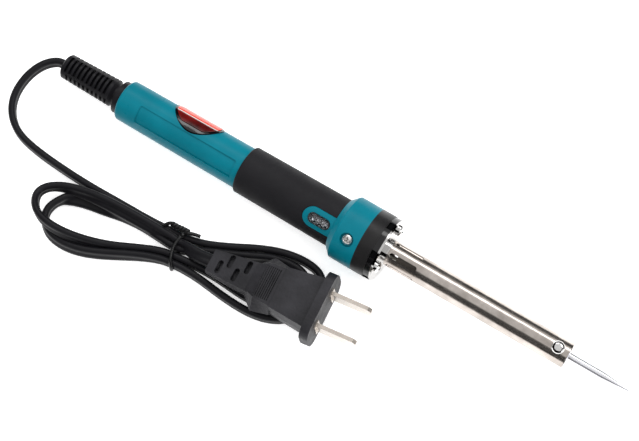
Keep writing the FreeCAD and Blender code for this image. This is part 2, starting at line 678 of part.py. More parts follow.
def make_tip_bush():
    body = tube("bush", "bush_rear_x", "bush_front_x", "barrel_bore_r", "bush_bore_r")
    hole = radial_pin("bush_hole", "set_shank_r + set_screw_gap", "set_screw_x", SET_SCREW_TURN)
    keep(combine("Part::Cut", "tip_bush", body, hole), "tip_bush")


def make_tip():
    body = turned("bit", [
        ("tip_rear_x", "axis_r"), ("tip_rear_x", "tip_r"), ("tip_step_x", "tip_r"),
        ("tip_work_x", "tip_work_r"), ("tip_cone_x", "tip_work_r"), ("tip_end_x", "tip_end_r"),
        ("tip_point_x", "tip_point_r"), ("tip_point_x", "axis_r"),
    ])
    keep(body, "tip")


def make_tip_set_screw():
    screw = phillips_screw("set_screw_blank", "set")
    direction = Rotation(ALONG, SET_SCREW_TURN)
    seat = direction.multVec(UP * size("set_screw_seat")) + ALONG * size("set_screw_x")
    keep(screw, "tip_set_screw", Placement(seat, direction))


def make_wires():
    radius = size("lead_r")
    heater_leads, crimps, mains_leads = [], [], []
    for side in (1, -1):
        heater, mains = [[Vector(x, y * side, z) for x, y, z in lead]
                         for lead in (HEATER_LEAD, MAINS_LEAD)]
        heater_leads.append(wire_along(heater, radius))
        mains_leads.append(wire_along(mains, radius))
        run = heater[3] - heater[2]
        run.normalize()
        base = heater[2] + run * size("crimp_offset")
        sleeve = Part.makeCylinder(size("crimp_r"), size("crimp_length"), base, run)
        crimps.append(sleeve.cut(Part.makeCylinder(radius, FAR, heater[2], run)))
    for label, wires in (("heater_leads", heater_leads), ("crimp_sleeves", crimps),
                         ("mains_leads", mains_leads)):
        keep(feature(label, Part.makeCompound(wires)), label)


# ---- The cord, its hank, the tie and the plug ----

def make_cord(rest):
    tail = Vector(size("boot_tail_x"), 0, 0)
    points = [rest.multVec(tail + ALONG * CORD_GRIP), rest.multVec(tail - ALONG * CORD_START)]
    points += vectors(CORD_ROUTE)
    path = rounded_path(points, title="cord")
    run = points[1] - points[0]
    half = size("cord_thickness") / 2
    rise = size("cord_width") / 2 - half
    side = run.cross(UP)
    side.normalize()
    start = points[0]
    low, high = start - UP * rise, start + UP * rise
    section = Part.Wire([
        Part.LineSegment(low + side * half, high + side * half).toShape(),
        Part.Arc(high + side * half, high + UP * half, high - side * half).toShape(),
        Part.LineSegment(high - side * half, low - side * half).toShape(),
        Part.Arc(low - side * half, low - UP * half, low + side * half).toShape(),
    ])
    sweep = Part.BRepOffsetAPI.MakePipeShell(path)
    sweep.setBiNormalMode(UP)
    sweep.add(section)
    sweep.build()
    sweep.makeSolid()
    solid = sweep.shape()
    area = Part.Face(section).Area
    print(f"cord: length {path.Length:.1f}, volume {solid.Volume:.1f}, "
          f"section times length {area * path.Length:.1f}")
    keep(feature("cord", solid), "cord", resting=False)


def make_cord_hank():
    corners = vectors([(x, y, 0) for x, y in HANK_OUTLINE])
    rim = Part.Wire(rounded_path(corners, title="hank").Edges
                    + [Part.LineSegment(corners[-1], corners[0]).toShape()])
    eyes = [rounded_path(vectors([(x, y, 0) for x, y in eye]), closed=True)
            for eye in (LEFT_EYE, RIGHT_EYE)]
    flat = Part.Face(rim)
    for eye in eyes:
        flat = flat.cut(Part.Face(eye))
    solid = flat.extrude(UP * size("cord_width"))
    width = size("tie_groove_width")
    groove = Part.makeBox(width, 2 * TIE_WIDTH, size("tie_groove_depth"),
                          Vector(-width / 2, -TIE_WIDTH, 0))
    groove.Placement = tie_place()
    keep(feature("cord_hank", solid.cut(groove).Solids[0]), "cord_hank", resting=False)


def tie_place():
    return Placement(TIE_CENTRE, Rotation(UP, -TIE_TURN))


def make_twist_tie():
    radius = size("tie_r")
    half, top, bottom = TIE_WIDTH / 2, TIE_TOP, radius + THIN
    path = rounded_path(vectors([(0, -half, bottom), (0, half, bottom), (0, half, top),
                                 (0, -half, top)]), closed=True)
    start = path.Edges[-1]
    at = start.valueAt(start.FirstParameter)
    ring = Part.Wire(Part.Circle(at, start.tangentAt(start.FirstParameter), radius).toShape())
    band = path.makePipeShell([ring], True, False)
    band.Placement = tie_place()
    tails = [wire_along(vectors(tail), size("tail_r"))
             for tail in (TIE_LEFT_TAIL, TIE_RIGHT_TAIL)]
    keep(feature("twist_tie", band.fuse(tails)), "twist_tie", resting=False)


def plug_place():
    turn = Rotation(UP, PLUG_YAW).multiply(Rotation(ACROSS, -PLUG_PITCH))
    return Placement(PLUG_AT, turn)


def six_sided(x, top, middle, height):
    corners = vectors([(x, -top, height), (x, top, height), (x, middle, 0), (x, top, -height),
                       (x, -top, -height), (x, -middle, 0)])
    return Part.makePolygon(corners + corners[:1])


def loft(sections):
    return Part.makeLoft([six_sided(*section) for section in sections], True, True)


def blade_pair(rear, front, thickness, width):
    blades = []
    for side in (1, -1):
        middle = side * size("blade_spacing") / 2
        corner = Vector(rear, middle - thickness / 2, -width / 2)
        blades.append(Part.makeBox(front - rear, thickness, width, corner))
    return blades


def round_along(shape, radius, direction):
    edges = [edge for edge in shape.Edges
             if isinstance(edge.Curve, Part.Line)
             and abs(edge.tangentAt(edge.FirstParameter).dot(direction)) > 1 - THIN]
    return shape.makeFillet(radius, edges)


def make_plug_body():
    width, height = size("flange_width"), size("flange_height")
    thickness = size("flange_thickness")
    plate = Part.makeBox(thickness, width, height, Vector(-thickness, -width / 2, -height / 2))
    plate = round_along(plate, size("flange_corner"), ALONG)
    solid = plate.fuse([loft(PLUG_BODY), loft(PLUG_BLOCK), loft(PLUG_RELIEF)])
    for i in range(RIB_GROOVES):
        x = size("rib_patch_rear") + i * size("rib_pitch")
        length = size("rib_length")
        solid = solid.cut(Part.makeBox(size("rib_groove"), length, FAR,
                                       Vector(x, -length / 2, size("rib_floor"))))
    for x, y in RELIEF_SLOTS:
        solid = solid.cut(relief_slot(x, y))
    roots = blade_pair(-size("blade_root"), 0, size("blade_thickness"), size("blade_width"))
    solid = solid.cut(roots)
    keep(feature("plug_body", solid.Solids[0]), "plug_body", plug_place(), resting=False)


def relief_slot(x, y):
    """A round-ended slot across the plug's strain relief, sunk into its top and its bottom."""
    radius, length = size("relief_slot") / 2, size("relief_slot_length")
    straight = length - 2 * radius
    web_height = size("relief_web")
    slot = Part.makeBox(2 * radius, straight, FAR, Vector(x - radius, y - straight / 2, -FAR / 2))
    for end in (-straight / 2, straight / 2):
        slot = slot.fuse(Part.makeCylinder(radius, FAR, Vector(x, y + end, -FAR / 2)))
    web = Part.makeBox(length, 2 * length, web_height,
                       Vector(x - length / 2, y - length, -web_height / 2))
    return slot.cut(web)


def make_plug_blades():
    blades = blade_pair(-size("blade_root"), size("blade_length"), size("blade_thickness"),
                        size("blade_width"))
    nose = size("blade_nose")
    shoulders = blade_pair(0, size("shoulder_thickness"), size("shoulder_width"),
                           size("shoulder_height"))
    finished = []
    for blade, shoulder in zip(blades, shoulders):
        ends = [edge for edge in blade.Edges
                if abs(edge.tangentAt(edge.FirstParameter).dot(ACROSS)) > 1 - THIN
                and edge.CenterOfMass.x > size("blade_length") - THIN]
        finished.append(blade.makeChamfer(nose, ends).fuse(shoulder).removeSplitter())
    keep(feature("plug_blades", Part.makeCompound(finished)), "plug_blades", plug_place(),
         resting=False)


# ---- Laying the iron down, checking and writing ----

def rest_turn():
    """Nose up, so that the collar's rim and the handle's rear edge both touch the table."""
    rise = size("collar_r - handle_rear_r")
    run = size("collar_cone_x - handle_rear_x - handle_edge")
    tilt = math.degrees(math.asin(rise / run))
    return Rotation(ACROSS, -tilt).multiply(Rotation(ALONG, ROLL))


def lay_down():
    doc.recompute()
    laid = [thing for thing, resting in subparts.values() if resting]
    turn = Placement(Vector(), rest_turn())
    whole = Part.makeCompound([thing.Shape for thing in laid])
    whole.Placement = turn
    bounds = whole.optimalBoundingBox()
    middle = bounds.Center
    rest = Placement(Vector(-middle.x, -middle.y, -bounds.ZMin), turn.Rotation)
    for thing in laid:
        thing.Placement = rest.multiply(thing.Placement)
    doc.recompute()
    return rest


def report_places(rest):
    """Prints the points and directions that the joints and mounts use."""
    wheel = Vector(size("window_x"), 0, size("wheel_z"))
    screw = Rotation(ALONG, SET_SCREW_TURN)
    seat = screw.multVec(UP * size("set_screw_seat")) + ALONG * size("set_screw_x")
    places = {
        "tail": (Vector(size("boot_tail_x"), 0, 0), -ALONG),
        "wheel": (wheel, ACROSS),
        "tip": (Vector(size("barrel_front_x"), 0, 0), ALONG),
        "set screw": (seat, screw.multVec(UP)),
    }
    for name, (point, direction) in places.items():
        there, way = rest.multVec(point), rest.Rotation.multVec(direction)
        print(f"{name}: at {tuple(round(c, 3) for c in there)}"
              f" along {tuple(round(c, 5) for c in way)}")


def write_parts():
    for thing in doc.Objects:
        if {"Invalid", "Error"} & set(thing.State):
            raise RuntimeError(f"{thing.Name} failed: {thing.State}")
    for label, (thing, _) in subparts.items():
        shape = thing.Shape
        if shape.isNull() or not shape.isValid() or not shape.Solids:
            raise RuntimeError(f"{label} has no valid shape")
        shape.exportStep(f"parts/{label}.step")
        print(f"{label}: {len(shape.Solids)} solid, {shape.Volume:.1f} mm3")


make_sheet()
make_strain_relief()
make_handle_body()
make_grip_sleeve()
make_badge()
make_window_bezel()
make_temperature_wheel()
make_potentiometer()
make_circuit()
make_collar_screw()
make_insulator_ring()
make_spacer_band()
make_flange_plate()
make_flange_screws()
make_barrel_tube()
make_heater()
make_tip_bush()
make_tip()
make_tip_set_screw()
make_wires()
REST = lay_down()
make_cord(REST)
make_cord_hank()
make_twist_tie()
make_plug_body()
make_plug_blades()
report_places(REST)
write_parts()
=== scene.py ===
"""Looks for the soldering iron: materials, the flat twin cord in its tied hank, and small details."""

import json
import math

import bpy
from mathutils import Matrix, Vector


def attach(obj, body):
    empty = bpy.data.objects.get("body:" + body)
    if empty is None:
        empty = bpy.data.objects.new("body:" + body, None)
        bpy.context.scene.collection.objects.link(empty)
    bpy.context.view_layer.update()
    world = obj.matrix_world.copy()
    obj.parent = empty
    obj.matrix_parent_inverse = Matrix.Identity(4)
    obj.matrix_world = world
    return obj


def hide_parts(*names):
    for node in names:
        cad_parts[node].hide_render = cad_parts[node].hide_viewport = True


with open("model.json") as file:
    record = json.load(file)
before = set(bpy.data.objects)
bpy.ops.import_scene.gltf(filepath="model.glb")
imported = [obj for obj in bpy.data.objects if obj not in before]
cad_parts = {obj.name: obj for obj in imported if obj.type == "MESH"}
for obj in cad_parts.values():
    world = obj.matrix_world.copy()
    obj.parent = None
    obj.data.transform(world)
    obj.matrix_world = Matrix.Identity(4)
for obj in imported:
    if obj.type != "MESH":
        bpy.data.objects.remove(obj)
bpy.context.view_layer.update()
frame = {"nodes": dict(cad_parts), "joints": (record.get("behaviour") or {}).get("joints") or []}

MM = 0.001
UP = Vector((0, 0, 1))
ROOT = "iron"
# The wheel's centre in the iron's own millimetres.
WHEEL_CENTRE = Vector((-3.05, 0.0, 1.65))
nodes = frame["nodes"]
joints = {joint["name"]: joint for joint in frame["joints"]}


# ---- The iron's own frame, from the joints in the record ----

def iron_frame():
    """The matrix from the iron's own millimetres to the row's metres."""
    along = Vector(joints["tip_withdrawal"]["axis"]).normalized()
    across = Vector(joints["temperature_dial"]["axis"]).normalized()
    out = along.cross(across).normalized()
    turn = Matrix((along, out.cross(along), out)).transposed()
    base = Vector(joints["temperature_dial"]["pos_m"]) - turn @ (WHEEL_CENTRE * MM)
    return Matrix.Translation(base) @ turn.to_4x4() @ Matrix.Scale(MM, 4)


IRON = iron_frame()


def in_iron(x, y, z):
    return IRON @ Vector((x, y, z))


def around_iron(x, radius, angle):
    """A point at a station, a radius and an angle from the window, positive towards -Y of it."""
    turn = math.radians(angle)
    return in_iron(x, -radius * math.sin(turn), radius * math.cos(turn))


# ---- Materials ----

class Surface:
    """A Principled material with helpers that add procedural detail to it."""

    def __init__(self, name, color, roughness, metallic=0.0, coat=0.0, specular=0.5):
        self.material = bpy.data.materials.new(name)
        self.material.use_nodes = True
        self.tree = self.material.node_tree
        self.shader = self.tree.nodes["Principled BSDF"]
        self.color = color
        self.roughness = roughness
        self.set("Base Color", (*color, 1.0))
        self.set("Roughness", roughness)
        self.set("Metallic", metallic)
        self.set("Specular IOR Level", specular)
        self.set("Coat Weight", coat)
        self.set("Coat Roughness", 0.08)
        self.coords = self.node("ShaderNodeTexCoord").outputs["Object"]
        self.normal = None

    def set(self, socket, value):
        self.shader.inputs[socket].default_value = value

    def node(self, kind, **inputs):
        made = self.tree.nodes.new(kind)
        for name, value in inputs.items():
            made.inputs[name].default_value = value
        return made

    def link(self, source, target):
        self.tree.links.new(source, target)

    def scaled(self, stretch):
        mapping = self.node("ShaderNodeMapping")
        mapping.inputs["Scale"].default_value = stretch
        self.link(self.coords, mapping.inputs["Vector"])
        return mapping.outputs["Vector"]

    def noise(self, scale, detail=3.0, stretch=(1, 1, 1), roughness=0.55):
        made = self.node("ShaderNodeTexNoise", Scale=scale, Detail=detail, Roughness=roughness)
        self.link(self.scaled(stretch), made.inputs["Vector"])
        return made.outputs["Fac"]

    def spread(self, fac, low, high, start=0.3, end=0.7):
        made = self.node("ShaderNodeMapRange")
        made.inputs["From Min"].default_value = start
        made.inputs["From Max"].default_value = end
        made.inputs["To Min"].default_value = low
        made.inputs["To Max"].default_value = high
        self.link(fac, made.inputs["Value"])
        return made.outputs["Result"]

    def tint(self, fac, other, start=0.35, end=0.65):
        """Blends the base colour towards another one."""
        ramp = self.node("ShaderNodeValToRGB")
        ramp.color_ramp.elements[0].position = start
        ramp.color_ramp.elements[0].color = (*self.color, 1.0)
        ramp.color_ramp.elements[1].position = end
        ramp.color_ramp.elements[1].color = (*other, 1.0)
        self.link(fac, ramp.inputs["Fac"])
        self.link(ramp.outputs["Color"], self.shader.inputs["Base Color"])
        return self

    def vary_roughness(self, fac, amount):
        low, high = self.roughness - amount, self.roughness + amount
        self.link(self.spread(fac, low, high), self.shader.inputs["Roughness"])
        return self

    def bump(self, height, depth, strength=1.0):
        """Adds relief of that depth in metres."""
        made = self.node("ShaderNodeBump", Strength=strength, Distance=depth)
        self.link(height, made.inputs["Height"])
        if self.normal is not None:
            self.link(self.normal, made.inputs["Normal"])
        self.normal = made.outputs["Normal"]
        self.link(self.normal, self.shader.inputs["Normal"])
        return self


def moulded(name, color, roughness, grain=2600, depth=0.00002, other=None, coat=0.0, specular=0.5):
    """Moulded plastic: fine grain, faint flow marks and handling marks in its gloss."""
    made = Surface(name, color, roughness, coat=coat, specular=specular)
    other = other or tuple(c * 0.82 for c in color)
    made.tint(made.noise(90, 4), other)
    made.vary_roughness(made.noise(240, 5), 0.06)
    made.bump(made.noise(grain, 2), depth)
    made.bump(made.noise(60, 2), depth * 3)
    return made


def metal(name, color, roughness, brushed=(1, 1, 1), scale=900, other=None, amount=0.05,
          metallic=1.0):
    """Plated or polished metal with drawn lines and faint smudges."""
    made = Surface(name, color, roughness, metallic=metallic)
    other = other or tuple(c * 0.86 for c in color)
    made.tint(made.noise(130, 4), other)
    made.vary_roughness(made.noise(scale, 4, brushed), amount)
    made.bump(made.noise(scale, 3, brushed), 0.000004)
    made.bump(made.noise(45, 2), 0.00003)
    return made


def paint(node, surface):
    thing = nodes[node]
    thing.data.materials.clear()
    thing.data.materials.append(surface.material)


# ---- The cord ----

CORD_WIDTH = 5.2
LOBE_RADIUS = 1.36
LOBE_OFFSET = CORD_WIDTH / 2 - LOBE_RADIUS
WAIST = 1.02
TALL = (0.0, 0.0, 1.0)
# Metres from the cord's line to the second line, which says where its width points.
GUIDE_REACH = 0.01

# Each point is its place in millimetres and the way the cord's width points there.
# The loose stretch: the CAD tube's route, lifted a little where it reaches the hank.
EXIT_RUN = [
    ((-118.482, 0.0, 6.683), TALL), ((-121.579, 0.0, 6.542), TALL), ((-124.6, -1.9, 6.4), TALL),
    ((-127.2, -5.2, 6.2), TALL), ((-128.9, -9.8, 5.9), TALL), ((-129.5, -14.9, 5.5), TALL),
    ((-129.0, -20.1, 4.9), TALL), ((-127.0, -24.9, 4.1), TALL), ((-123.5, -28.7, 3.3), TALL),
    ((-118.8, -31.3, 2.7), TALL), ((-112.8, -32.7, 2.6), TALL), ((-104.4, -33.6, 2.6), TALL),
    ((-93.9, -34.1, 2.7), TALL), ((-84.0, -34.3, 3.0), TALL),
]
TOP_STRAND = [
    ((-72.0, -34.0, 3.6), TALL), ((-58.0, -33.7, 3.8), TALL), ((-50.0, -32.8, 3.2), TALL),
]
OUTER_RIGHT = [
    ((-44.6, -32.3, 2.7), TALL), ((-37.0, -30.6, 2.6), TALL), ((-28.0, -26.2, 2.6), TALL),
    ((-19.4, -21.3, 2.6), TALL), ((-10.8, -17.7, 2.6), TALL), ((-2.6, -16.2, 2.6), TALL),
    ((4.6, -17.0, 2.6), TALL), ((8.6, -21.0, 2.6), TALL), ((8.8, -27.0, 2.6), TALL),
    ((6.9, -33.0, 2.6), TALL), ((3.4, -38.4, 2.6), TALL), ((-2.4, -41.8, 2.6), TALL),
    ((-10.0, -43.4, 2.6), TALL), ((-20.0, -43.3, 2.6), TALL), ((-31.0, -42.2, 2.6), TALL),
    ((-38.0, -42.2, 2.6), TALL),
]
OUTER_LEFT = [
    ((-42.0, -42.6, 2.7), TALL), ((-47.0, -43.4, 2.6), TALL), ((-54.0, -46.3, 2.6), (0, 0.2, 1)),
    ((-61.0, -50.2, 2.6), (0, 0.4, 1)), ((-67.5, -53.8, 2.6), (0, 0.45, 1)),
    ((-74.0, -56.6, 2.6), (0, 0.45, 1)), ((-80.5, -57.9, 2.6), (0, 0.4, 1)),
    ((-86.4, -57.4, 2.6), (0.1, 0.3, 1)), ((-90.8, -54.8, 2.6), (0.2, 0, 1)),
    ((-93.0, -50.9, 2.6), TALL), ((-92.4, -46.4, 2.6), TALL),
    ((-89.4, -42.2, 2.6), (0.4, 0.8, 0.4)), ((-83.4, -39.7, 2.0), (0, 1, 0.15)),
    ((-76.0, -38.5, 2.5), (0, 0.8, 0.6)), ((-68.0, -37.4, 2.6), (0, 0.1, 1)),
    ((-60.0, -36.7, 2.6), TALL), ((-53.0, -36.9, 2.6), TALL),
]
INNER_RIGHT = [
    ((-43.4, -37.2, 2.7), TALL), ((-38.6, -34.4, 2.6), TALL), ((-33.0, -31.4, 2.6), TALL),
    ((-26.6, -28.4, 2.6), TALL), ((-20.0, -25.1, 2.6), TALL), ((-13.4, -22.3, 2.6), (0, 0.6, 0.8)),
    ((-7.0, -20.9, 2.2), (0, 1, 0.3)), ((-1.4, -20.8, 2.1), (0.4, 1, 0.2)),
    ((2.7, -23.8, 2.5), (1, 0.5, 0.5)),
    ((4.0, -28.4, 2.6), TALL), ((2.0, -33.4, 2.6), TALL), ((-2.6, -37.4, 2.6), TALL),
    ((-9.0, -38.9, 2.6), TALL), ((-17.0, -39.0, 2.6), TALL), ((-26.0, -38.4, 2.6), TALL),
    ((-35.0, -38.8, 2.6), TALL),
]
INNER_LEFT = [
    ((-42.7, -39.9, 2.7), TALL), ((-49.0, -41.2, 2.6), (0, 0.2, 1)),
    ((-57.0, -45.1, 2.6), (0, 0.4, 1)), ((-65.5, -49.7, 3.2), (0, 0.45, 1)),
    ((-74.5, -53.2, 4.6), (0, 0.5, 1)), ((-82.0, -55.0, 6.3), (0, 0.4, 1)),
    ((-89.0, -55.3, 7.8), (0, 0.2, 1)), ((-94.6, -53.4, 7.6), TALL),
    ((-98.2, -49.6, 5.8), TALL), ((-99.0, -45.8, 4.9), TALL), ((-96.5, -42.2, 4.9), TALL),
    ((-91.0, -39.5, 5.2), (0, 0.3, 1)), ((-83.0, -37.7, 5.6), (0, 0.6, 0.8)),
    ((-73.0, -36.6, 5.9), (0, 0.8, 0.6)), ((-61.0, -36.0, 5.8), (0, 0.8, 0.6)),
    ((-51.0, -35.5, 5.0), (0, 0.6, 0.8)),
]
TO_PLUG = [
    ((-44.2, -34.8, 3.6), TALL), ((-39.5, -35.7, 5.8), (0, 0.7, 0.7)),
    ((-35.0, -36.1, 7.2), (0, 0.98, 0.2)), ((-31.0, -35.6, 8.1), (0, 1, 0.05)),
    ((-26.0, -35.2, 8.6), (0, 1, 0)),
]
CORD_ROUTE = (EXIT_RUN + TOP_STRAND + OUTER_RIGHT + OUTER_LEFT + INNER_RIGHT + INNER_LEFT
              + TO_PLUG)


def spline_line(points, cyclic=False):
    """The points of a smooth line whose control points these are, in metres."""
    data = bpy.data.curves.new("route", "CURVE")
    data.dimensions = "3D"
    data.resolution_u = 6
    spline = data.splines.new("NURBS")
    spline.points.add(len(points) - 1)
    for slot, point in zip(spline.points, points):
        slot.co = (*point, 1.0)
    spline.order_u = 3
    if cyclic:
        spline.use_cyclic_u = True
    else:
        spline.use_endpoint_u = True
    holder = bpy.data.objects.new("route", data)
    bpy.context.scene.collection.objects.link(holder)
    mesh = bpy.data.meshes.new_from_object(holder)
    line = [vertex.co.copy() for vertex in mesh.vertices]
    bpy.data.objects.remove(holder)
    bpy.data.curves.remove(data)
    bpy.data.meshes.remove(mesh)
    return line


def tangents(line):
    count = len(line)
    return [(line[min(i + 1, count - 1)] - line[max(i - 1, 0)]).normalized() for i in range(count)]


def mesh_object(name, verts, faces, surface, smooth=True):
    mesh = bpy.data.meshes.new(name)
    mesh.from_pydata([tuple(v) for v in verts], [], faces)
    mesh.update()
    mesh.materials.append(surface.material)
    if smooth:
        mesh.polygons.foreach_set("use_smooth", [True] * len(mesh.polygons))
    thing = bpy.data.objects.new(name, mesh)
    bpy.context.scene.collection.objects.link(thing)
    return thing


def skin(name, rings, surface, closed=False):
    """Joins rings of points into a tube with capped ends, or into a ring."""
    around, count = len(rings[0]), len(rings)
    verts = [point for ring in rings for point in ring]
    faces = []
    for i in range(count if closed else count - 1):
        here, there = i * around, (i + 1) % count * around
        for j in range(around):
            after = (j + 1) % around
            faces.append((here + j, here + after, there + after, there + j))
    if not closed:
        faces.append(tuple(reversed(range(around))))
        faces.append(tuple(range((count - 1) * around, count * around)))
    return mesh_object(name, verts, faces, surface)


def twin_section():
    """The outline of the two-lobed cord as (along its width, across it), in millimetres."""
    lobe = [math.radians(angle) for angle in range(-120, 121, 24)]
    upper = [(LOBE_OFFSET + LOBE_RADIUS * math.cos(a), LOBE_RADIUS * math.sin(a)) for a in lobe]
    lower = [(-u, -v) for u, v in upper]
    return upper + [(0.0, WAIST)] + lower + [(0.0, -WAIST)]


def make_cord(surface):
    places = [Vector(place) * MM for place, _ in CORD_ROUTE]
    guides = [Vector(place) * MM + Vector(width).normalized() * GUIDE_REACH
              for place, width in CORD_ROUTE]
    line, guide = spline_line(places), spline_line(guides)
    section = twin_section()
    rings = []
    for centre, ahead, lead in zip(line, tangents(line), guide):
        wide = lead - centre
        wide = (wide - ahead * wide.dot(ahead)).normalized()
        side = ahead.cross(wide)
        rings.append([centre + (wide * u + side * v) * MM for u, v in section])
    thing = skin("twin_cord", rings, surface)
    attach(thing, ROOT)
    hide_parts("cord", "cord_hank")
    length = sum((b - a).length for a, b in zip(line, line[1:]))
    print(f"cord length {length:.4f} m")
    return thing, line


# ---- The wire tie, the toothed wheel, the badge's print, and softened edges ----

TIE_RADIUS = 0.7
TIE_SIDES = 12
TIE_LOOP = [
    (-44.3, -31.2, 6.3), (-45.3, -35.0, 6.5), (-44.8, -39.2, 6.5), (-43.2, -42.6, 6.3),
    (-41.7, -44.5, 4.6), (-41.7, -44.7, 1.9), (-42.6, -43.2, 0.75), (-43.9, -37.0, 0.72),
    (-45.3, -30.9, 0.75), (-45.6, -29.6, 1.9), (-45.0, -29.6, 4.8),
]
TIE_TWIST = [(-43.4, -30.6, 6.9), (-45.4, -30.6, 6.9), (-47.6, -31.0, 6.7), (-50.4, -31.0, 6.6)]
TIE_HOOK = [(-49.6, -30.6, 6.8), (-51.0, -31.0, 6.9), (-52.0, -32.2, 6.4), (-52.9, -33.4, 5.8)]
TIE_TAIL = [(-44.4, -31.0, 6.9), (-43.2, -31.0, 6.9), (-41.6, -30.0, 6.5), (-38.9, -29.5, 6.4)]
TWIST_PITCH = 2.5
# How far a strand's line runs from the middle of the twist, in wire radii.
TWIST_REACH = 0.75


def around(line, radius):
    """Rings of points round a line, without twist."""
    rings, side = [], None
    turns = [2 * math.pi * i / TIE_SIDES for i in range(TIE_SIDES)]
    for centre, ahead in zip(line, tangents(line)):
        side = ahead.orthogonal() if side is None else side - ahead * side.dot(ahead)
        side.normalize()
        over = ahead.cross(side)
        rings.append([centre + (side * math.cos(a) + over * math.sin(a)) * radius for a in turns])
    return rings


def tubes(name, lines, surface):
    """One object of several capped round wires."""
    verts, faces = [], []
    for line in lines:
        rings = around(line, TIE_RADIUS * MM)
        first = len(verts)
        verts += [point for ring in rings for point in ring]
        for i in range(len(rings) - 1):
            start = first + TIE_SIDES * i
            for j in range(TIE_SIDES):
                here, after = start + j, start + (j + 1) % TIE_SIDES
                faces.append((here, after, after + TIE_SIDES, here + TIE_SIDES))
        faces.append(tuple(reversed(range(first, first + TIE_SIDES))))
        faces.append(tuple(range(len(verts) - TIE_SIDES, len(verts))))
    return mesh_object(name, verts, faces, surface)


def twisted(line, phase):
    """A strand that winds round a line."""
    wound, run = [], 0.0
    for i, (centre, ahead) in enumerate(zip(line, tangents(line))):
        run += (centre - line[max(i - 1, 0)]).length
        side = ahead.cross(UP).normalized()
        turn = phase + 2 * math.pi * run / (TWIST_PITCH * MM)
        offset = side * math.cos(turn) + side.cross(ahead) * math.sin(turn)
        wound.append(centre + offset * TIE_RADIUS * TWIST_REACH * MM)
    return wound


def in_metres(points):
    return [Vector(point) * MM for point in points]


def finer(line, parts):
    return [a.lerp(b, i / parts) for a, b in zip(line, line[1:]) for i in range(parts)] + line[-1:]


def make_tie(surface):
    loop = spline_line(in_metres(TIE_LOOP), cyclic=True)
    twist = finer(spline_line(in_metres(TIE_TWIST)), 2)
    lines = [loop + loop[:1], twisted(twist, 0.0), twisted(twist, math.pi),
             spline_line(in_metres(TIE_HOOK)), spline_line(in_metres(TIE_TAIL))]
    thing = tubes("tie_wire", lines, surface)
    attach(thing, ROOT)
    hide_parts("twist_tie")
    return thing


WHEEL_RADIUS = 7.5
WHEEL_ROOT_RADIUS = 6.5
WHEEL_BORE_RADIUS = 1.0
WHEEL_TEETH = 22
WHEEL_EDGE = 0.1
# The corners of one tooth and its gap, as (share of the pitch, on the tooth's top).
TOOTH_CORNERS = [(0.0, True), (0.5, True), (0.6, False), (0.9, False)]
# Half widths of the wheel and of the groove between its two rows of teeth.
WHEEL_HALF_WIDTH = 1.2
WHEEL_GROOVE = 0.22


def toothed_rings(stations, place):
    """Rings of points round the wheel: one station is (distance along its axis, are there teeth)."""
    rings = []
    for offset, toothed in stations:
        ring = []
        for tooth in range(WHEEL_TEETH):
            for share, high in TOOTH_CORNERS:
                radius = WHEEL_RADIUS if toothed and high else WHEEL_ROOT_RADIUS
                turn = 2 * math.pi * (tooth + share) / WHEEL_TEETH
                ring.append(place(offset, radius, turn))
        rings.append(ring)
    return rings


def make_wheel(surface):
    joint = joints["temperature_dial"]
    centre, axis = Vector(joint["pos_m"]), Vector(joint["axis"]).normalized()
    side = axis.orthogonal().normalized()
    over = axis.cross(side)

    def place(offset, radius, turn):
        return centre + (axis * offset + side * radius * math.cos(turn)
                         + over * radius * math.sin(turn)) * MM

    half, groove = WHEEL_HALF_WIDTH, WHEEL_GROOVE
    stations = [(-half, True), (-groove, True), (-groove, False), (groove, False), (groove, True),
                (half, True)]
    rings = toothed_rings(stations, place)
    count = len(rings[0])
    for offset in (half, -half):
        rings.append([place(offset, WHEEL_BORE_RADIUS, 2 * math.pi * i / count)
                      for i in range(count)])
    thing = skin("dial_wheel", rings, surface, closed=True)
    thing.data.polygons.foreach_set("use_smooth", [False] * len(thing.data.polygons))
    bevel = thing.modifiers.new("softened", "BEVEL")
    bevel.width = WHEEL_EDGE * MM
    bevel.segments = 2
    bevel.limit_method = "ANGLE"
    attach(thing, "wheel")
    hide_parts("temperature_wheel")


BADGE_X = -62.0
BADGE_TURN = -86.0
BADGE_PRINT_RADIUS = 8.58
BADGE_HALF_LENGTH = 9.3
BADGE_HALF_WIDTH = 6.5
# How fast the handle widens towards its front under the badge, and the printed film's thickness.
BADGE_TAPER = 0.0055
BADGE_FILM = 0.06


def badge_band(name, start, end, surface):
    """A printed band on the badge between two angles from its middle, cut to its oval."""
    rows, columns = 10, 28
    verts, faces = [], []
    for i in range(rows + 1):
        angle = start + (end - start) * i / rows
        across = BADGE_PRINT_RADIUS * math.sin(math.radians(angle)) / BADGE_HALF_WIDTH
        reach = BADGE_HALF_LENGTH * math.sqrt(max(1.0 - across * across, 0.0))
        for j in range(columns + 1):
            x = BADGE_X + reach * (2 * j / columns - 1)
            radius = BADGE_PRINT_RADIUS + (x - BADGE_X) * BADGE_TAPER
            verts.append(around_iron(x, radius, BADGE_TURN + angle))
    for i in range(rows):
        for j in range(columns):
            here = i * (columns + 1) + j
            faces.append((here, here + columns + 1, here + columns + 2, here + 1))
    thing = mesh_object(name, verts, faces, surface)
    thick = thing.modifiers.new("film", "SOLIDIFY")
    thick.thickness = BADGE_FILM * MM
    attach(thing, ROOT)


def make_badge_print():
    badge_band("badge_lower_band", 42.0, 16.5, badge_red)
    badge_band("badge_line", 16.5, 14.0, badge_line)
    badge_band("badge_upper_band", 14.0, -44.0, badge_orange)


SHARP_ANGLE = 35.0


def soften(node, width):
    """Rounds a piece's sharp edges a little, so that they catch the light."""
    bevel = nodes[node].modifiers.new("softened", "BEVEL")
    bevel.width = width * MM
    bevel.segments = 2
    bevel.limit_method = "ANGLE"
    bevel.angle_limit = math.radians(SHARP_ANGLE)


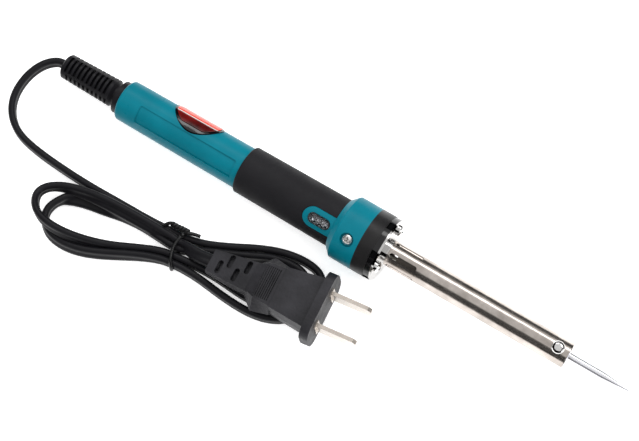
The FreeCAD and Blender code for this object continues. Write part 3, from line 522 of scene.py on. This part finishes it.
# ---- Camera, floor and lights ----

CAMERA_AZIMUTH, CAMERA_ELEVATION = 32.3, 71.0
CAMERA_PLACE = (0.09093, -0.15419, 0.53188)
CAMERA_LENS = 86.2
FLOOR_HALF = 2.5


def make_camera():
    azimuth, elevation = math.radians(CAMERA_AZIMUTH), math.radians(CAMERA_ELEVATION)
    back = Vector((math.sin(azimuth) * math.cos(elevation),
                   -math.cos(azimuth) * math.cos(elevation), math.sin(elevation)))
    data = bpy.data.cameras.new("camera")
    data.sensor_width = 36.0
    data.lens = CAMERA_LENS
    data.clip_start, data.clip_end = 0.01, 20.0
    camera = bpy.data.objects.new("camera", data)
    bpy.context.scene.collection.objects.link(camera)
    camera.location = CAMERA_PLACE
    camera.rotation_mode = "QUATERNION"
    camera.rotation_quaternion = (-back).to_track_quat("-Z", "Y")
    bpy.context.scene.camera = camera


def make_floor():
    surface = Surface("floor_paper", (0.93, 0.93, 0.93), 0.9)
    surface.bump(surface.noise(400, 3), 0.00002)
    surface.set("Emission Color", (1.0, 1.0, 1.0, 1.0))
    surface.set("Emission Strength", 0.5)
    corners = [(-FLOOR_HALF, -FLOOR_HALF, 0), (FLOOR_HALF, -FLOOR_HALF, 0),
               (FLOOR_HALF, FLOOR_HALF, 0), (-FLOOR_HALF, FLOOR_HALF, 0)]
    floor = mesh_object("floor", corners, [(0, 1, 2, 3)], surface, smooth=False)


def area_light(name, place, target, size, power):
    data = bpy.data.lights.new(name, "AREA")
    data.shape = "RECTANGLE"
    data.size, data.size_y = size
    data.energy = power
    light = bpy.data.objects.new(name, data)
    light.location = place
    light.rotation_mode = "QUATERNION"
    light.rotation_quaternion = (Vector(target) - Vector(place)).to_track_quat("-Z", "Y")
    bpy.context.scene.collection.objects.link(light)


def make_lights():
    world = bpy.data.worlds.new("studio")
    world.use_nodes = True
    world.node_tree.nodes["Background"].inputs["Color"].default_value = (1, 1, 1, 1)
    world.node_tree.nodes["Background"].inputs["Strength"].default_value = 0.9
    world.cycles_visibility.glossy = False
    bpy.context.scene.world = world
    area_light("overhead", (0.0, 0.2, 0.95), (0, 0.2, 0), (1.6, 1.9), 7.6)
    area_light("strip", (0.0, 0.46, 0.8), (0, 0, 0), (1.7, 0.22), 4.6)
    area_light("nose", (1.3, -0.1, 0.35), (0, 0, 0), (1.0, 0.6), 3.0)
    bpy.context.scene.view_settings.view_transform = "Standard"


# ---- Everything ----

teal = moulded("teal_plastic", (0.001, 0.146, 0.196), 0.33, other=(0.001, 0.126, 0.170),
               specular=0.08)
rubber = moulded("grip_rubber", (0.0120, 0.0116, 0.0136), 0.6, grain=3500, depth=0.00004,
                 specular=0.14)
cord_plastic = moulded("cord_plastic", (0.0080, 0.0078, 0.0095), 0.4, specular=0.15)
plug_plastic = moulded("plug_plastic", (0.0135, 0.0132, 0.0155), 0.46, grain=1100, depth=0.00012,
                       other=(0.025, 0.0243, 0.0285), specular=0.18)
boot_rubber = moulded("boot_rubber", (0.0085, 0.0082, 0.0100), 0.42, specular=0.16)
tie_plastic = moulded("tie_plastic", (0.006, 0.006, 0.0065), 0.25, specular=0.35)
bakelite = moulded("bakelite", (0.013, 0.0127, 0.0132), 0.36, specular=0.2)
gloss_black = moulded("gloss_black", (0.004, 0.004, 0.0045), 0.12, specular=0.35, coat=0.2)
barrel_steel = metal("barrel_steel", (0.58, 0.53, 0.49), 0.2, (0.05, 1, 1), 1500,
                     other=(0.38, 0.34, 0.31), amount=0.07, metallic=0.93)
plate_steel = metal("plate_steel", (0.66, 0.65, 0.64), 0.1)
screw_steel = metal("screw_steel", (0.80, 0.79, 0.78), 0.16)
collar_steel = metal("collar_steel", (0.86, 0.85, 0.83), 0.24, metallic=0.85)
tip_plating = metal("tip_plating", (0.90, 0.90, 0.95), 0.22, metallic=0.8)
blade_metal = metal("blade_metal", (0.62, 0.56, 0.50), 0.22, metallic=0.82)
bezel_metal = metal("bezel_metal", (0.55, 0.58, 0.60), 0.28)
brass = metal("brass", (0.45, 0.33, 0.15), 0.28)
heater_wire = metal("heater_wire", (0.22, 0.20, 0.19), 0.4)
wheel_plastic = metal("wheel_plastic", (0.80, 0.80, 0.82), 0.2, metallic=0.9)
# The heater ceramic's colour is painted shade: it is darkened to stand in for the shade inside the
# barrel seen through the vent.
painted_shade_ceramic = moulded("heater_ceramic", (0.075, 0.065, 0.055), 0.7, specular=0.2)
mica = moulded("mica", (0.035, 0.026, 0.018), 0.6, specular=0.15)
laminate = moulded("board_laminate", (0.01, 0.08, 0.025), 0.4)
component = moulded("component_plastic", (0.01, 0.01, 0.011), 0.5)
film = moulded("film_plastic", (0.25, 0.08, 0.015), 0.3)
sleeving = moulded("lead_insulation", (0.35, 0.33, 0.28), 0.8)
badge_film = moulded("badge_film", (0.004, 0.003, 0.004), 0.14, specular=0.4, coat=0.3)
badge_red = moulded("badge_red", (0.20, 0.005, 0.004), 0.16, other=(0.03, 0.004, 0.004),
                    specular=0.3)
badge_orange = moulded("badge_orange", (0.62, 0.055, 0.03), 0.18, specular=0.4, coat=0.2)
badge_line = moulded("badge_line", (0.62, 0.58, 0.56), 0.3)

FINISHES = {
    "handle_body": teal, "grip_sleeve": rubber, "badge": badge_film, "window_bezel": bezel_metal,
    "temperature_wheel": wheel_plastic, "wheel_spindle": brass, "potentiometer": component,
    "circuit_board": laminate, "triac": component, "capacitor": film,
    "collar_screw": collar_steel, "insulator_ring": bakelite, "spacer_band": gloss_black,
    "flange_plate": plate_steel, "flange_screws": screw_steel, "barrel_tube": barrel_steel,
    "tip_bush": brass, "tip": tip_plating, "tip_set_screw": screw_steel,
    "heater_former": painted_shade_ceramic, "heater_winding": heater_wire, "mica_sleeve": mica,
    "heater_leads": sleeving, "crimp_sleeves": brass, "mains_leads": sleeving,
    "strain_relief": boot_rubber, "cord": cord_plastic, "cord_hank": cord_plastic,
    "twist_tie": tie_plastic, "plug_body": plug_plastic, "plug_blades": blade_metal,
}

SOFTENED = {
    "window_bezel": 0.15, "plug_body": 0.35, "plug_blades": 0.15,
    "flange_plate": 0.12, "spacer_band": 0.15, "insulator_ring": 0.25, "strain_relief": 0.15,
}

make_camera()
make_floor()
make_lights()
for name, surface in FINISHES.items():
    paint(name, surface)
for name, width in SOFTENED.items():
    soften(name, width)
make_badge_print()
make_wheel(wheel_plastic)
tie_piece = make_tie(tie_plastic)
cord_piece, cord_line = make_cord(cord_plastic)
tuple(cord_line[0])
[tuple(point) for point in cord_line]
